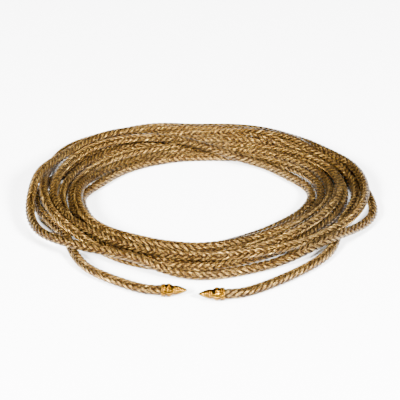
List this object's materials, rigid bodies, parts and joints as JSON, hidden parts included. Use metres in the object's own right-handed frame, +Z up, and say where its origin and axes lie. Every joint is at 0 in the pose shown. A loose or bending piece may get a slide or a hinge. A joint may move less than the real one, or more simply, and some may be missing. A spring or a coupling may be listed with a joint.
{
  "type": "braided cord ligature",
  "caption": "Long round braided cord, loosely coiled, with a bell-and-cone metal tip on each end; it is wound round a woodwind mouthpiece to hold the reed.",
  "frame": {"origin": "On the table, under the middle of the bounding box of the coil and the two tips.", "axes": "+Z is up. The coil lies flat in X and Y. The two tips are at the -Y side and lie along X, with their points towards each other; left and right are as seen from the -Y side."},
  "size_m": [0.075, 0.0792, 0.0052],
  "materials": {
    "cord_braid": "twelve-strand braid of golden-brown metallic yarn, glinting, slightly fuzzy",
    "tip_metal": "polished yellow brass, darker in the grooves",
    "whipping_thread": "fine waxed thread"
  },
  "bodies": {
    "root": {"cord_coil": "cord_braid", "left_cord_end": "cord_braid", "right_cord_end": "cord_braid", "left_tip_cap": "tip_metal", "left_tip_collar": "tip_metal", "left_tip_cone": "tip_metal", "left_tip_whipping": "whipping_thread", "right_tip_cap": "tip_metal", "right_tip_collar": "tip_metal", "right_tip_cone": "tip_metal", "right_tip_whipping": "whipping_thread"}
  },
  "joints": []
}
